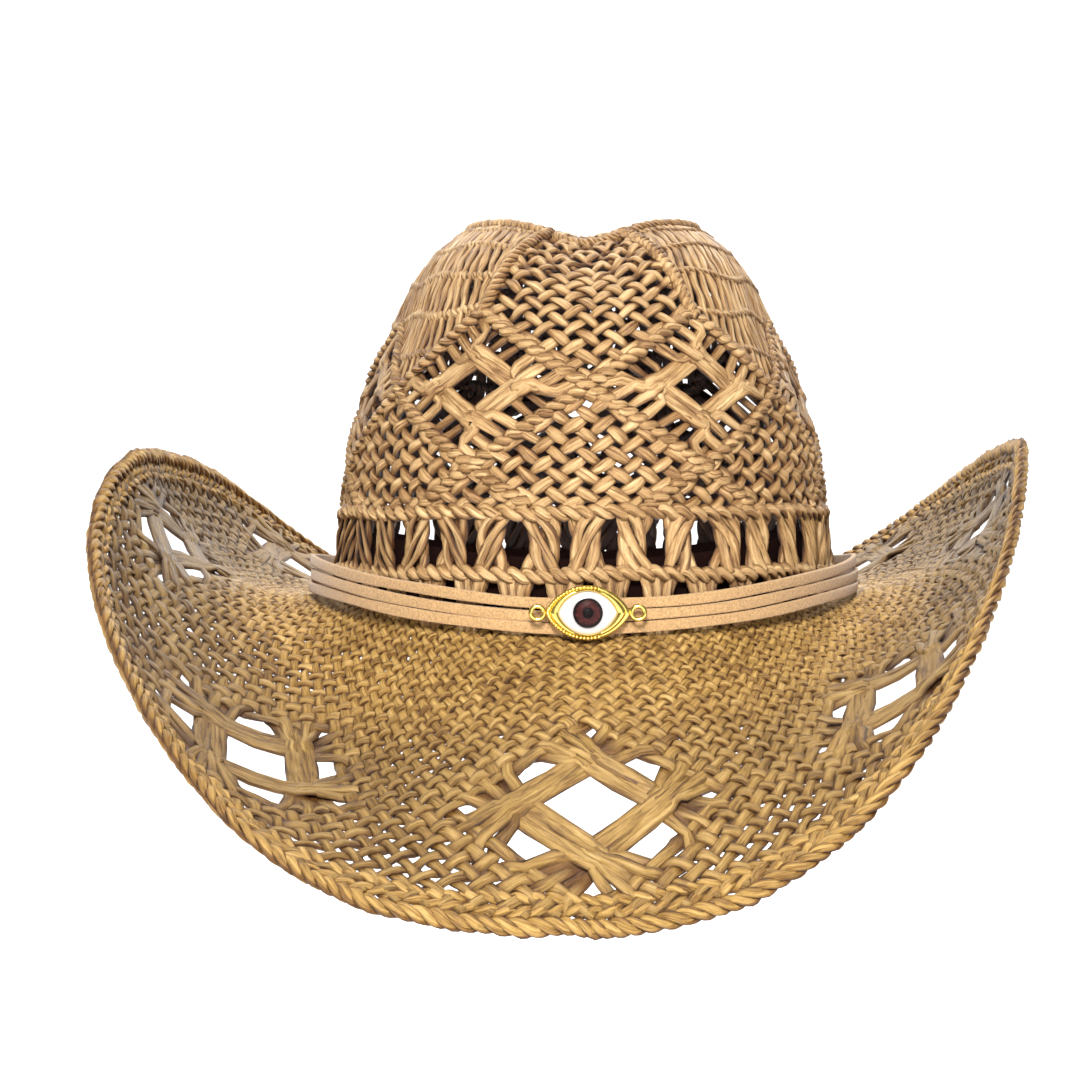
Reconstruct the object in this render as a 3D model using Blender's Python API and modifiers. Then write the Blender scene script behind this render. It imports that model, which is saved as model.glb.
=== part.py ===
"""Open-weave cowboy hat: woven crown and brim, bound edge, sweatband, suede band and a gold eye charm.

Metres, +Z up. The hat faces -Y. The origin is the centre of the head opening, level with the fold
between crown and brim at the hat's two sides. Places round the hat are given by "turn": 0 at the front,
a quarter turn at +X. Places across the brim are given by "reach": 0 at the fold, 1 at the outer edge.
"""

import math

import bmesh
import bpy
from mathutils import Vector

TAU = 2 * math.pi
GAP = 0.0003                    # between pieces that touch
HOOP_STEPS = 64                 # facets round a plain hoop
ROW_SIDES, CORD_SIDES = 5, 4    # sides of a twined row's section, and of a thread's or wire's
MERGE = 1e-6                    # corners closer than this become one
SHARP = math.radians(40)        # edges bent more than this stay sharp

# Crown: a dome on an oval, creased along its top
HALF_WIDTH = 0.0816             # the fold's oval, across the head
HALF_LENGTH = 0.100             # the fold's oval, front to back
CROWN_HEIGHT = 0.1306
FOLD_DIP = 0.0100               # the fold is lower at the front and back than at the sides
FOLD_RISE = 0.0100              # above this height the woven rows are level
SQUARE_SIDE, SQUARE_END = 4.85, 6.0      # how square the dome's profile is
TAPER_SIDE, TAPER_END = 0.158, 0.0
CREASE_DEPTH, CREASE_WIDTH = 0.0223, 0.0196
CREASE_LIP = 0.59               # share of the crease that the front and back lips fill
LIP_START, LIP_RUN = 0.010, 0.045
CREASE_FOOT, CREASE_RUN = 0.085, 0.035   # the crease fades in over this run, from this height up
DENT_DEPTH, DENT_PLACE, DENT_LENGTH = 0.0074, 0.030, 0.040
DENT_HEIGHT, DENT_SPAN = 0.088, 0.022
DENT_FADE = 0.020               # the dents fade out this near to the middle
CROWN_WALL = 0.0022

# Brim: each side's slope turns from its start angle to its end angle, in degrees
FRONT_SLOPES, FRONT_WIDTH = (-29, -66.5), 0.109
BACK_SLOPES, BACK_WIDTH = (-5, -10), 0.0815
RIGHT_SLOPES, RIGHT_WIDTH = (2, 80.5), 0.087
LEFT_SLOPES, LEFT_WIDTH = (-5, 83), 0.089
LEFT_SAG_SLOPES, LEFT_SAG_WIDTH = (-49, 39.5), 0.010
RIGHT_SAG_SLOPES, RIGHT_SAG_WIDTH = (-37, 23), -0.0175
CURL_FRONT, CURL_BACK = 1.97, 3.03        # how narrow the side curl is, ahead of and behind the side
CURL_SHIFT_RIGHT, CURL_SHIFT_LEFT = 0.09, -0.125
BEND_POWER, BEND_STEPS = 1.18, 24       # above 1 the slope changes more towards the edge
BRIM_WALL = 0.0024

# Woven rows
ROW_RADIUS, ROW_OUT = 0.0015, 0.0008
LOWER_ROW, UPPER_ROW = 0.0095, 0.0283
POSTS = 35
POST_SHARE = 0.46               # share of a post's pitch that is solid
RAIL = 0.0016
POST_FOOT = 0.0004              # the short posts start this far above the fold
MOTIFS_CROWN, MOTIFS_BRIM = 7, 8
CROWN_CELLS = 8                 # mesh cells from one crown motif to the next
WALL_ROWS, WALL_MOTIF_ROW, TIP_ROWS = 6, 3, 7
TIP_LEVEL = 0.76                # share of the crown's height where the wall's weave meets the tip's
TIP_GAP = 0.0009                # between the two, wider than GAP because their rims lean together
BRIM_CELLS, INNER_ROWS, OUTER_ROWS = 8, 4, 6
BRIM_START, BRIM_SPLIT, BRIM_STOP = 0.017, 0.44, 0.965
SPLIT_HALF = 0.002              # half the gap, in reach, between the brim's inner and outer weave
BRIM_MOTIF_ROW = 2

# Bound edge and wire
BINDING_HALF, BINDING_WALL, BINDING_LONG = 0.0031, 0.0011, 0.0064
WIRE_RADIUS = 0.0007

# Sweatband
BAND_HEIGHT, BAND_WALL, BAND_LIFT = 0.0250, 0.0010, -0.0010
BAND_IN = -0.0022
THREAD_RADIUS, THREAD_LIFT = 0.0004, 0.0045

# Suede laces
LACE_HIGH, LACE_THICK = 0.0034, 0.0015
LACE_FRONT_OUT, LACE_SIDE_OUT, LACE_BACK_OUT = 0.0033, 0.0085, 0.0052
LACE_FRONT_LIFT, LACE_SIDE_LIFT, LACE_BACK_LIFT = 0.0068, 0.0078, 0.0100
KEEPER_HALF, KEEPER_WALL, KEEPER_EASE = 0.0065, 0.0011, 0.0008

# Eye charm
CHARM_LEVEL = -0.0020
CHARM_HALF_LONG, CHARM_HALF_HIGH, CHARM_THICK = 0.0128, 0.0083, 0.0026
EYE_HALF_LONG, EYE_HALF_HIGH = 0.0088, 0.0066
POCKET_DEPTH = 0.0016
ALMOND_ROUNDED, ALMOND_POINTED = 0.69, 0.75     # powers of the outline's height at -X and at +X
BEZEL_STEPS, EYE_STEPS = 14, 10         # facets along each of an almond's two arcs
POCKET_CLEAR = 0.001            # the pocket's cutter stands this far out of the bezel
LOOP_OUTER, LOOP_HOLE, LOOP_PLACE = 0.0027, 0.00135, 0.0152
LOOP_THICK, LOOP_BACK = 0.00156, 0.00052        # thickness, and distance in from the bezel's back
LOOP_SIDES, LOOP_HOLE_SIDES = 20, 12
PAD_HALF_LONG, PAD_HALF_HIGH, PAD_THICK = 0.0050, 0.0030, 0.0009
SCLERA_THICK, IRIS_RADIUS, IRIS_THICK = 0.0012, 0.0045, 0.0003
PUPIL_RADIUS, PUPIL_THICK = 0.0016, 0.0003
IRIS_SIDES, PUPIL_SIDES = 24, 16
CORNEA_RADIUS, CORNEA_RISE, CORNEA_WALL = 0.0050, 0.0016, 0.0004
CORNEA_PROFILE = ((0.0, 1.0), (0.5, 0.8), (0.86, 0.5), (1.0, 0.0))      # shares of radius and of rise

MATERIALS = {                   # colour, roughness, metallic
    "straw_crown": ((0.60, 0.40, 0.21), 0.62, 0.0),
    "straw_brim": ((0.54, 0.34, 0.13), 0.62, 0.0),
    "suede": ((0.55, 0.33, 0.17), 0.90, 0.0),
    "elastic": ((0.012, 0.010, 0.010), 0.85, 0.0),
    "thread": ((0.02, 0.02, 0.02), 0.70, 0.0),
    "wire": ((0.60, 0.60, 0.62), 0.35, 1.0),
    "gold": ((0.83, 0.60, 0.16), 0.25, 1.0),
    "glue": ((0.70, 0.68, 0.60), 0.40, 0.0),
    "enamel": ((0.85, 0.80, 0.82), 0.25, 0.0),
    "iris": ((0.10, 0.012, 0.010), 0.30, 0.0),
    "pupil": ((0.004, 0.004, 0.004), 0.20, 0.0),
    "dome": ((0.95, 0.95, 0.97), 0.04, 0.0),
}


# ---------------------------------------------------------------- the hat's surface

def ease(share):
    """0 to 1 with a soft start and stop."""
    share = min(max(share, 0.0), 1.0)
    return share * share * (3 - 2 * share)


def fold_level(turn):
    return -FOLD_DIP * math.cos(turn) ** 2


def crown_point(turn, level, out=0.0):
    """A point on the crown's middle surface at a height given as a share of the whole height."""
    end = math.cos(turn) ** 2
    square = SQUARE_SIDE + (SQUARE_END - SQUARE_SIDE) * end
    taper = TAPER_SIDE + (TAPER_END - TAPER_SIDE) * end
    level = min(max(level, 0.0), 1.0)
    size = math.sqrt(1 - level ** square) * (1 - taper * level)
    x = (HALF_WIDTH * size + out) * math.sin(turn)
    y = -(HALF_LENGTH * size + out) * math.cos(turn)
    z = CROWN_HEIGHT * level
    top = ease((z - CREASE_FOOT) / CREASE_RUN)
    lip = 1 - CREASE_LIP * ease((abs(y) - LIP_START) / LIP_RUN)
    z -= CREASE_DEPTH * math.exp(-(x / CREASE_WIDTH) ** 2) * top * lip
    dent = DENT_DEPTH * math.exp(-((y + DENT_PLACE) / DENT_LENGTH) ** 2)
    dent *= math.exp(-((z - DENT_HEIGHT) / DENT_SPAN) ** 2)
    x -= math.copysign(dent * ease(abs(x) / DENT_FADE), x)
    return Vector((x, y, z))


def wall_point(turn, height, out=0.0):
    """A point on the crown's lower wall: level rows, running into the fold's dip at the bottom."""
    point = crown_point(turn, max(height, 0.0) / CROWN_HEIGHT, out)
    point.z = height + fold_level(turn) * (1 - ease(height / FOLD_RISE))
    return point


def curl_phase(turn):
    """The turn measured from the front on either side, shifted so that the curl's crest is at a quarter."""
    shift = CURL_SHIFT_RIGHT if math.sin(turn) > 0 else CURL_SHIFT_LEFT
    from_front = math.acos(min(max(math.cos(turn), -1.0), 1.0))
    return from_front + shift * math.sin(from_front) ** 2


def brim_law(turn):
    """The brim's start slope, end slope and width at a turn."""
    right = math.sin(turn) > 0
    phase = curl_phase(turn)
    if phase < math.pi / 2:
        side = math.sin(phase) ** CURL_FRONT
        end_slopes, end_width = FRONT_SLOPES, FRONT_WIDTH
    else:
        side = 1 - abs(math.cos(phase)) ** CURL_BACK
        end_slopes, end_width = BACK_SLOPES, BACK_WIDTH
    side_slopes, side_width = (RIGHT_SLOPES, RIGHT_WIDTH) if right else (LEFT_SLOPES, LEFT_WIDTH)
    sag_slopes = RIGHT_SAG_SLOPES if right else LEFT_SAG_SLOPES
    sag_width = RIGHT_SAG_WIDTH if right else LEFT_SAG_WIDTH
    sag = math.sin(2 * turn) ** 2 if math.cos(turn) > 0 else 0.0
    start, stop = (side_slopes[i] * side + end_slopes[i] * (1 - side) + sag_slopes[i] * sag
                   for i in (0, 1))
    return start, stop, side_width * side + end_width * (1 - side) + sag_width * sag


def brim_point(turn, reach):
    """A point on the brim's middle surface."""
    start, stop, width = brim_law(turn)
    across = drop = 0.0
    for i in range(BEND_STEPS):
        bend = ((i + 0.5) / BEND_STEPS * reach) ** BEND_POWER
        slope = math.radians(start + (stop - start) * bend)
        across += math.cos(slope) * reach * width / BEND_STEPS
        drop += math.sin(slope) * reach * width / BEND_STEPS
    outward = Vector((HALF_LENGTH * math.sin(turn), -HALF_WIDTH * math.cos(turn), 0)).normalized()
    fold = Vector((HALF_WIDTH * math.sin(turn), -HALF_LENGTH * math.cos(turn), fold_level(turn)))
    return fold + outward * across + Vector((0, 0, drop))


def edge_frame(turn):
    """The brim's edge at a turn, with the direction out of it and the direction through it."""
    step = 0.01
    edge = brim_point(turn, 1.0)
    out = (edge - brim_point(turn, 1.0 - step)).normalized()
    along = (brim_point(turn + step, 1.0) - brim_point(turn - step, 1.0)).normalized()
    return edge, out, along.cross(out).normalized()


# ---------------------------------------------------------------- mesh helpers

def add_object(name, bm, material, collection, smooth=True):
    """A finished mesh as a named object with its own material."""
    bmesh.ops.recalc_face_normals(bm, faces=bm.faces)
    mesh = bpy.data.meshes.new(name)
    bm.to_mesh(mesh)
    bm.free()
    if smooth:
        mesh.shade_smooth()
        mesh.set_sharp_from_angle(angle=SHARP)
    obj = bpy.data.objects.new(name, mesh)
    obj.data.materials.append(make_material(material))
    collection.objects.link(obj)
    return obj


def make_material(kind):
    if kind in bpy.data.materials:
        return bpy.data.materials[kind]
    colour, roughness, metallic = MATERIALS[kind]
    material = bpy.data.materials.new(kind)
    material.use_nodes = True
    shader = material.node_tree.nodes["Principled BSDF"]
    shader.inputs["Base Color"].default_value = (*colour, 1.0)
    shader.inputs["Roughness"].default_value = roughness
    shader.inputs["Metallic"].default_value = metallic
    return material


def wrapped_grid(columns, rows, place):
    """A grid whose first and last columns meet, with each corner put where place(column, row) says."""
    bm = bmesh.new()
    bmesh.ops.create_grid(bm, x_segments=columns, y_segments=rows, size=1.0)
    spots = {}
    for vert in bm.verts:
        column = round((vert.co.x + 1) / 2 * columns)
        row = round((vert.co.y + 1) / 2 * rows)
        spots[vert] = (column % columns, row)
    for vert, (column, row) in spots.items():
        vert.co = place(column, row)
    return bm, spots


def open_window(bm, grid, column, row, columns):
    """Cuts a diamond hole round one corner of a grid: its four faces go and the hole's corners close in."""
    near = {(i, j): grid[(column + i) % columns, row + j] for i in (-1, 0, 1) for j in (-1, 0, 1)}
    for i in (-1, 1):
        for j in (-1, 1):
            near[i, j].co = (near[i, 0].co + near[0, j].co) / 2
    bmesh.ops.delete(bm, geom=[near[0, 0]], context="VERTS")


def shell(name, columns, rows, place, wall, material, collection, windows=(), slots=()):
    """An open woven sheet round the hat, made solid. Windows are diamonds, slots are whole cells."""
    bm, spots = wrapped_grid(columns, rows, place)
    gone = []
    for face in bm.faces:
        cells = [spots[vert] for vert in face.verts]
        row = min(cell[1] for cell in cells)
        corners = sorted({cell[0] for cell in cells})
        column = columns - 1 if corners == [0, columns - 1] else corners[0]
        if (column, row) in slots:
            gone.append(face)
    bmesh.ops.delete(bm, geom=gone, context="FACES")
    bmesh.ops.remove_doubles(bm, verts=bm.verts, dist=MERGE)
    grid = {spot: vert for vert, spot in spots.items() if vert.is_valid}
    for column, row in windows:
        open_window(bm, grid, column, row, columns)
    obj = add_object(name, bm, material, collection)
    solid = obj.modifiers.new("wall", "SOLIDIFY")
    solid.thickness = wall
    solid.offset = 0.0
    return obj


def hoop(name, section, place, columns, material, collection):
    """A closed hoop round the hat: place(turn, out, up) carries the section's corners along."""
    corners = len(section)

    def corner(column, row):
        out, up = section[row % corners]
        return place(TAU * column / columns, out, up)

    bm, _ = wrapped_grid(columns, corners, corner)
    bmesh.ops.remove_doubles(bm, verts=bm.verts, dist=MERGE)
    return add_object(name, bm, material, collection)


def round_section(radius, sides, out=0.0, up=0.0):
    return [(out + radius * math.cos(TAU * i / sides), up + radius * math.sin(TAU * i / sides))
            for i in range(sides)]


def strip_section(thick, high):
    a, b = thick / 2, high / 2
    return [(a, -b), (a, b), (-a, b), (-a, -b)]


# ---------------------------------------------------------------- woven crown and brim

def build_crown(collection):
    """The wall's weave with its ring of motifs, and the tip's weave over the creased top."""
    columns = MOTIFS_CROWN * CROWN_CELLS
    bottom = (UPPER_ROW + ROW_RADIUS + GAP) / CROWN_HEIGHT
    half_square = (SQUARE_SIDE + SQUARE_END) / 4
    tip_bottom = TIP_LEVEL + TIP_GAP / CROWN_HEIGHT
    tip_arc = math.asin(tip_bottom ** half_square)

    def wall_place(column, row):
        return crown_point(TAU * column / columns, bottom + (TIP_LEVEL - bottom) * row / WALL_ROWS)

    def tip_place(column, row):
        arc = tip_arc + (math.pi / 2 - tip_arc) * row / TIP_ROWS
        level = 1.0 if row == TIP_ROWS else math.sin(arc) ** (1 / half_square)
        return crown_point(TAU * column / columns, level)

    windows = [(i * CROWN_CELLS + CROWN_CELLS // 2, WALL_MOTIF_ROW) for i in range(MOTIFS_CROWN)]
    shell("crown_weave", columns, WALL_ROWS, wall_place, CROWN_WALL, "straw_crown", collection, windows)
    shell("crown_tip_weave", columns, TIP_ROWS, tip_place, CROWN_WALL, "straw_crown", collection)


def post_edges(column):
    """The turn at a post's edge: posts and windows take turns round the crown."""
    pitch = TAU / POSTS
    post, side = divmod(column, 2)
    return post * pitch + (side - 0.5) * pitch * POST_SHARE


def post_course(name, bottom, top, collection):
    """A course of upright posts between two thin rails."""
    heights = (bottom, bottom + RAIL, top - RAIL, top)

    def place(column, row):
        return wall_point(post_edges(column), heights[row])

    slots = {(2 * i + 1, 1) for i in range(POSTS)}
    shell(name, 2 * POSTS, 3, place, CROWN_WALL, "straw_crown", collection, slots=slots)


def build_courses(collection):
    for name, level in (("twined_row_lower", LOWER_ROW), ("twined_row_upper", UPPER_ROW)):
        def place(turn, out, up, level=level):
            return wall_point(turn, level + up, ROW_OUT + out)
        hoop(name, round_section(ROW_RADIUS, ROW_SIDES), place, 2 * POSTS, "straw_crown", collection)
    clear = ROW_RADIUS + GAP
    post_course("post_course_short", POST_FOOT, LOWER_ROW - clear, collection)
    post_course("post_course_tall", LOWER_ROW + clear, UPPER_ROW - clear, collection)


def build_brim(collection):
    """The dense inner weave next to the crown, and the open outer weave with its ring of motifs."""
    columns = MOTIFS_BRIM * BRIM_CELLS
    motifs = [(i * BRIM_CELLS, BRIM_MOTIF_ROW) for i in range(MOTIFS_BRIM)]
    inner = (BRIM_START, BRIM_SPLIT - SPLIT_HALF, INNER_ROWS, ())
    outer = (BRIM_SPLIT + SPLIT_HALF, BRIM_STOP, OUTER_ROWS, motifs)
    for name, (start, stop, rows, windows) in (("brim_inner_weave", inner), ("brim_outer_weave", outer)):
        def place(column, row, start=start, stop=stop, rows=rows):
            return brim_point(TAU * column / columns, start + (stop - start) * row / rows)
        shell(name, columns, rows, place, BRIM_WALL, "straw_brim", collection, windows)


def build_edge(collection):
    """The binding wraps the brim's edge in a channel that also holds the wire."""
    columns = MOTIFS_BRIM * BRIM_CELLS

    def place(turn, out, up):
        edge, outward, through = edge_frame(turn)
        return edge + outward * out + through * up

    half, inner, deep = BINDING_HALF, BINDING_HALF - BINDING_WALL, BINDING_LONG
    back = -deep / 2
    channel = [(back, inner), (deep / 2 - BINDING_WALL, inner), (deep / 2 - BINDING_WALL, -inner),
               (back, -inner), (back, -half), (deep / 2 - half / 2, -half), (deep / 2, -half / 3),
               (deep / 2, half / 3), (deep / 2 - half / 2, half), (back, half)]
    hoop("brim_binding", channel, place, columns, "straw_brim", collection)
    wire_out = deep / 2 - BINDING_WALL - GAP - WIRE_RADIUS
    wire = round_section(WIRE_RADIUS, CORD_SIDES, out=wire_out)
    hoop("brim_wire", wire, place, columns, "wire", collection)


def build_sweatband(collection):
    def place(turn, out, up):
        height = fold_level(turn) + BAND_LIFT + up
        point = wall_point(turn, height, BAND_IN + out)
        point.z = height
        return point

    half = BAND_WALL / 2
    section = [(half, 0), (half, BAND_HEIGHT), (-half, BAND_HEIGHT), (-half, 0)]
    hoop("sweatband", section, place, HOOP_STEPS, "elastic", collection)
    inside = -half - GAP - THREAD_RADIUS
    thread = round_section(THREAD_RADIUS, CORD_SIDES, out=inside, up=THREAD_LIFT)
    hoop("sweatband_stitching", thread, place, HOOP_STEPS, "thread", collection)


# ---------------------------------------------------------------- suede band

def by_side(turn, front, side, back):
    """A value that goes smoothly from the front's to the side's to the back's."""
    end = front if math.cos(turn) > 0 else back
    share = math.sin(turn) ** 2
    return side * share + end * (1 - share)


def band_point(turn, out, up):
    """A point on the lace band, whose middle stands off the crown and rides over the fold."""
    stand = by_side(turn, LACE_FRONT_OUT, LACE_SIDE_OUT, LACE_BACK_OUT)
    point = wall_point(turn, 0.0, stand + out)
    point.z = fold_level(turn) + by_side(turn, LACE_FRONT_LIFT, LACE_SIDE_LIFT, LACE_BACK_LIFT) + up
    return point


def build_band(collection):
    pitch = LACE_HIGH + GAP
    for name, place in (("lace_upper", 1), ("lace_middle", 0), ("lace_lower", -1)):
        def lace_point(turn, out, up, place=place):
            return band_point(turn, out, up + place * pitch)
        hoop(name, strip_section(LACE_THICK, LACE_HIGH), lace_point, HOOP_STEPS, "suede", collection)
    build_keeper(collection, 1.5 * LACE_HIGH + GAP)


def build_keeper(collection, stack_half):
    """A suede loop round the three laces at the back of the hat."""
    inner_out, inner_up = LACE_THICK / 2 + KEEPER_EASE, stack_half + GAP
    outer_out, outer_up = inner_out + KEEPER_WALL, inner_up + KEEPER_WALL
    middle = band_point(math.pi, 0.0, 0.0)
    sections = [strip_section(2 * outer_out, 2 * outer_up), strip_section(2 * inner_out, 2 * inner_up)]
    bm = bmesh.new()
    ends = [[[bm.verts.new((x, middle.y + out, middle.z + up)) for out, up in section]
             for section in sections] for x in (-KEEPER_HALF, KEEPER_HALF)]
    (outer_a, inner_a), (outer_b, inner_b) = ends
    for i in range(4):
        j = (i + 1) % 4
        bm.faces.new((outer_a[i], outer_a[j], outer_b[j], outer_b[i]))
        bm.faces.new((inner_a[i], inner_b[i], inner_b[j], inner_a[j]))
        bm.faces.new((outer_a[i], inner_a[i], inner_a[j], outer_a[j]))
        bm.faces.new((outer_b[i], outer_b[j], inner_b[j], inner_b[i]))
    add_object("lace_keeper", bm, "suede", collection, smooth=False)


# ---------------------------------------------------------------- eye charm

def almond(half_long, half_high, steps):
    """An eye's outline as two arcs, rounder at -X and pointed at +X."""
    points = []
    for side in (1, -1):
        for i in range(steps):
            along = math.cos(math.pi * i / steps) * side
            power = ALMOND_ROUNDED if along < 0 else ALMOND_POINTED
            high = max(1 - along * along, 0.0) ** power
            points.append((along * half_long, side * high * half_high))
    return points


def circle(radius, sides, x=0.0):
    return [(x + radius * math.cos(TAU * i / sides), radius * math.sin(TAU * i / sides))
            for i in range(sides)]


def flat_mesh(name, outlines, thick):
    """A flat plate facing -Y, as a mesh object: the first outline is its edge, the rest are holes."""
    curve = bpy.data.curves.new(name, "CURVE")
    curve.dimensions = "2D"
    curve.fill_mode = "BOTH"
    curve.extrude = thick / 2
    for outline in outlines:
        spline = curve.splines.new("POLY")
        spline.points.add(len(outline) - 1)
        for point, (x, y) in zip(spline.points, outline):
            point.co = (x, y, 0, 1)
        spline.use_cyclic_u = True
    obj = bpy.data.objects.new(name, curve)
    bpy.context.scene.collection.objects.link(obj)
    depsgraph = bpy.context.evaluated_depsgraph_get()
    mesh = bpy.data.meshes.new_from_object(obj.evaluated_get(depsgraph))
    bpy.data.objects.remove(obj)
    bm = bmesh.new()
    bm.from_mesh(mesh)
    bmesh.ops.remove_doubles(bm, verts=bm.verts, dist=MERGE)
    for vert in bm.verts:
        vert.co = (vert.co.x, -vert.co.z, vert.co.y)
    return bm


def plate(name, outlines, thick, back_y, material, collection):
    """A flat plate standing with its back at a place along Y, at the charm's level."""
    bm = flat_mesh(name, outlines, thick)
    bmesh.ops.translate(bm, verts=bm.verts, vec=(0, back_y - thick / 2, CHARM_LEVEL))
    return add_object(name, bm, material, collection, smooth=False)


def build_bezel(back_y, collection, cutters):
    """A cast almond with a pocket for the eye, joined to a loop at each end."""
    body = plate("charm_bezel", [almond(CHARM_HALF_LONG, CHARM_HALF_HIGH, BEZEL_STEPS)], CHARM_THICK, back_y,
                 "gold", collection)
    for side in (-1, 1):
        ring = [circle(LOOP_OUTER, LOOP_SIDES, side * LOOP_PLACE),
                circle(LOOP_HOLE, LOOP_HOLE_SIDES, side * LOOP_PLACE)]
        loop = plate(f"loop_{side}", ring, LOOP_THICK, back_y - LOOP_BACK, "gold", cutters)
        boolean(body, loop, "UNION")
    pocket = plate("eye_pocket", [almond(EYE_HALF_LONG, EYE_HALF_HIGH, EYE_STEPS)],
                   POCKET_DEPTH + POCKET_CLEAR, back_y - CHARM_THICK + POCKET_DEPTH, "gold", cutters)
    boolean(body, pocket, "DIFFERENCE")


def boolean(body, tool, operation):
    tool.hide_render = True
    tool.display_type = "WIRE"
    cut = body.modifiers.new(tool.name, "BOOLEAN")
    cut.operation = operation
    cut.object = tool
    cut.solver = "EXACT"


def build_eye(pocket_y, collection):
    """The eye's layers from back to front: sclera, iris, pupil and clear dome."""
    shrink = 1 - GAP / EYE_HALF_HIGH
    y = pocket_y - GAP
    plate("charm_sclera", [almond(EYE_HALF_LONG * shrink, EYE_HALF_HIGH * shrink, EYE_STEPS)],
          SCLERA_THICK, y, "enamel", collection)
    y -= SCLERA_THICK + GAP
    plate("charm_iris", [circle(IRIS_RADIUS, IRIS_SIDES)], IRIS_THICK, y, "iris", collection)
    plate("charm_pupil", [circle(PUPIL_RADIUS, PUPIL_SIDES)], PUPIL_THICK, y - IRIS_THICK - GAP,
          "pupil", collection)
    build_cornea(y, collection)


def build_cornea(foot_y, collection):
    """A thin clear cap that stands over the iris and pupil."""
    def place(column, row):
        angle = TAU * column / IRIS_SIDES
        radius, rise = CORNEA_RADIUS * CORNEA_PROFILE[row][0], CORNEA_RISE * CORNEA_PROFILE[row][1]
        return radius * math.cos(angle), foot_y - rise, CHARM_LEVEL + radius * math.sin(angle)

    bm, _ = wrapped_grid(IRIS_SIDES, len(CORNEA_PROFILE) - 1, place)
    bmesh.ops.remove_doubles(bm, verts=bm.verts, dist=MERGE)
    cap = add_object("charm_cornea", bm, "dome", collection)
    solid = cap.modifiers.new("wall", "SOLIDIFY")
    solid.thickness = CORNEA_WALL
    solid.offset = 1.0


def build_charm(collection, cutters):
    lace_front = -(HALF_LENGTH + LACE_FRONT_OUT + LACE_THICK / 2)
    pad_back = lace_front - GAP
    plate("charm_glue_pad", [[(-PAD_HALF_LONG, -PAD_HALF_HIGH), (PAD_HALF_LONG, -PAD_HALF_HIGH),
                              (PAD_HALF_LONG, PAD_HALF_HIGH), (-PAD_HALF_LONG, PAD_HALF_HIGH)]],
          PAD_THICK, pad_back, "glue", collection)
    bezel_back = pad_back - PAD_THICK - GAP
    build_bezel(bezel_back, collection, cutters)
    build_eye(bezel_back - CHARM_THICK + POCKET_DEPTH, collection)


def main():
    for obj in list(bpy.data.objects):
        bpy.data.objects.remove(obj, do_unlink=True)
    hat = bpy.data.collections.new("cowboy_hat")
    cutters = bpy.data.collections.new("cutters")
    for collection in (hat, cutters):
        bpy.context.scene.collection.children.link(collection)
    build_crown(hat)
    build_courses(hat)
    build_brim(hat)
    build_edge(hat)
    build_sweatband(hat)
    build_band(hat)
    build_charm(hat, cutters)


main()
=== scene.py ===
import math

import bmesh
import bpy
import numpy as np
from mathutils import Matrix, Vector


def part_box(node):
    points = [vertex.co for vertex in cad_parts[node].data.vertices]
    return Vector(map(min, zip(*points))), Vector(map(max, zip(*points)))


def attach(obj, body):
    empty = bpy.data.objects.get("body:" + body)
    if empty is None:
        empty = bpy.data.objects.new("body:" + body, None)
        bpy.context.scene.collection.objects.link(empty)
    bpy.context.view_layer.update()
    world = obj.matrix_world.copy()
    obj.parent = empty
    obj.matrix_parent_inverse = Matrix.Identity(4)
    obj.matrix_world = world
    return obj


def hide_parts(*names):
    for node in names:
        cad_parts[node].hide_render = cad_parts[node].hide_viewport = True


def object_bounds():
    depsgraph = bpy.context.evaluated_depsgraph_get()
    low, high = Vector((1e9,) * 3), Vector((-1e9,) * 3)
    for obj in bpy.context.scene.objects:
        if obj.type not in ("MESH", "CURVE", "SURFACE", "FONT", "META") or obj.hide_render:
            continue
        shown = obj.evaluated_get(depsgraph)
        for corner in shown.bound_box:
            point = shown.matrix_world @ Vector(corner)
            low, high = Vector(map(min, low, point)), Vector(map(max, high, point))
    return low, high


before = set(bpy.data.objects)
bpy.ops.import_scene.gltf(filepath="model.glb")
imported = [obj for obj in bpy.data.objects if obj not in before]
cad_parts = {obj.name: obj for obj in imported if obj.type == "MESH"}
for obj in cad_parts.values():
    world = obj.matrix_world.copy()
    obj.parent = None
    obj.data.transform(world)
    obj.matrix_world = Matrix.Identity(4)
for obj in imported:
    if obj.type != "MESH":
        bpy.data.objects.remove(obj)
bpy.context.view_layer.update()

# The looks of the open-weave cowboy hat. Everything woven is real cord: flattened paper strands that pass
# over and under each other on the crown's and the brim's surfaces, gathered into bundles round each motif.
# Metres, +Z up, the hat faces -Y. "turn" is the angle round the hat, 0 at the front, a quarter at +X.
# "climb" is a distance up the weave counted in strands crossed. A strand of the rising family keeps one
# value a, and one of the falling family one value b: turn goes with (a + b) / 2 and climb with b - a.

TAU = 2 * math.pi
TURN_STEP = 0.004  # for measuring a surface's slope round the hat
WALL_STEP = 0.0005  # and up the lower wall
rng = np.random.default_rng(7)

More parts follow.
